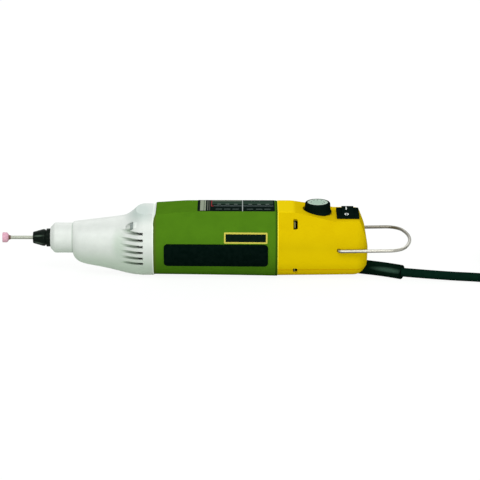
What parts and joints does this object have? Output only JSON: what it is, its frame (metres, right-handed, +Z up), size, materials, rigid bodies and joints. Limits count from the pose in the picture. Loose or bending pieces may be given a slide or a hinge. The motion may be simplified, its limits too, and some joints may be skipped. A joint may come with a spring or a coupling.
{
  "type": "mains rotary tool",
  "caption": "Corded rotary tool: cast head with collet and mounted stone, round motor housing with grip pads, rear cap with speed dial, rocker switch, wire bail and coiled cord.",
  "frame": {"origin": "on the spindle axis, at the middle of the round clamping collar behind the collet nut", "axes": "+X along the spindle towards the cord, +Z up through the speed dial and the switch, +Y completes the right-handed frame"},
  "size_m": [0.4081, 0.09, 0.0489],
  "materials": {
    "cast_aluminium": "silk, bead-blasted casting",
    "green_plastic": "moulded, fine spark-eroded grain",
    "yellow_plastic": "moulded, fine spark-eroded grain",
    "black_rubber": "smooth moulded rubber",
    "cord_jacket": "satin extruded jacket",
    "black_plastic": "moulded",
    "black_label": "printed film, blank",
    "pale_inlay": "printed disc with plain numbers",
    "black_steel": "black oxide",
    "steel": "ground",
    "spring_wire": "nickel-plated spring wire",
    "plated_brass": "nickel-plated",
    "pink_abrasive": "bonded aluminium oxide",
    "cement": "baked cement",
    "engineering_plastic": "glass-filled",
    "white_plastic": "moulded",
    "core_steel": "stacked sheets, varnished",
    "ferrite": "sintered ferrite",
    "copper": "enamelled copper",
    "carbon": "pressed carbon",
    "circuit_board": "glass-epoxy board"
  },
  "bodies": {
    "housing": {"head_casting": "cast_aluminium", "head_screws": "steel", "motor_housing": "green_plastic", "grip_pad_near": "black_rubber", "grip_pad_far": "black_rubber", "side_plate": "black_label", "data_label": "black_label", "rear_cap": "yellow_plastic", "front_bearing_outer": "steel", "front_bearing_balls": "steel", "rear_bearing_outer": "steel", "rear_bearing_balls": "steel", "motor_bearing_outer": "steel", "motor_bearing_balls": "steel", "bearing_spacer": "cast_aluminium", "motor_can": "steel", "field_magnets": "ferrite", "motor_front_plate": "steel", "brush_holder": "engineering_plastic", "carbon_brushes": "carbon", "brush_springs": "steel", "speed_control": "engineering_plastic", "switch_body": "black_plastic", "control_board": "circuit_board", "board_parts": "engineering_plastic", "strain_relief": "black_rubber", "inner_lead": "cord_jacket", "cord_clamp": "engineering_plastic", "clamp_screws": "steel", "cord_lead": "cord_jacket", "cord_coil": "cord_jacket", "coil_tie": "black_plastic", "plug_body": "black_plastic", "plug_pins": "plated_brass"},
    "rotor": {"spindle": "steel", "front_bearing_inner": "steel", "rear_bearing_inner": "steel", "motor_bearing_inner": "steel", "shaft_coupling": "engineering_plastic", "fan": "white_plastic", "motor_shaft": "steel", "armature_core": "core_steel", "armature_winding": "copper", "commutator": "copper"},
    "collet": {"collet": "steel"},
    "collet_nut": {"collet_nut": "black_steel"},
    "mounted_stone": {"grinding_stone": "pink_abrasive", "stone_cement": "cement", "stone_shank": "steel"},
    "speed_dial": {"speed_dial": "black_plastic", "dial_inlay": "pale_inlay", "dial_shaft": "white_plastic"},
    "switch_rocker": {"switch_rocker": "black_plastic"},
    "wire_bail": {"wire_bail": "spring_wire"}
  },
  "joints": [
    {"name": "spindle_spin", "type": "hinge", "parent": "housing", "child": "rotor", "pos_m": [0, 0, 0], "axis": [1, 0, 0], "continuous": true},
    {"name": "collet_travel", "type": "slide", "parent": "rotor", "child": "collet", "axis": [-1, 0, 0], "range_m": [0, 0.0015]},
    {"name": "nut_turn", "type": "hinge", "parent": "collet", "child": "collet_nut", "pos_m": [-0.015, 0, 0], "axis": [-1, 0, 0], "range_deg": [0, 720]},
    {"name": "stone_removal", "type": "slide", "parent": "collet", "child": "mounted_stone", "axis": [-1, 0, 0], "range_m": [0, 0.036]},
    {"name": "dial_turn", "type": "hinge", "parent": "housing", "child": "speed_dial", "pos_m": [0.1679, 0, 0.02], "axis": [0, 0, -1], "range_deg": [0, 270]},
    {"name": "rocker_tilt", "type": "hinge", "parent": "housing", "child": "switch_rocker", "pos_m": [0.1879, 0, 0.0154], "axis": [-1, 0, 0], "range_deg": [0, 16]},
    {"name": "bail_swing", "type": "hinge", "parent": "housing", "child": "wire_bail", "pos_m": [0.1814, 0, -0.0006], "axis": [0, -1, 0], "range_deg": [-12, 145]}
  ],
  "couplings": [
    {"joint": "collet_travel", "follows": "nut_turn", "m_per_rad": 0.00011937}
  ]
}
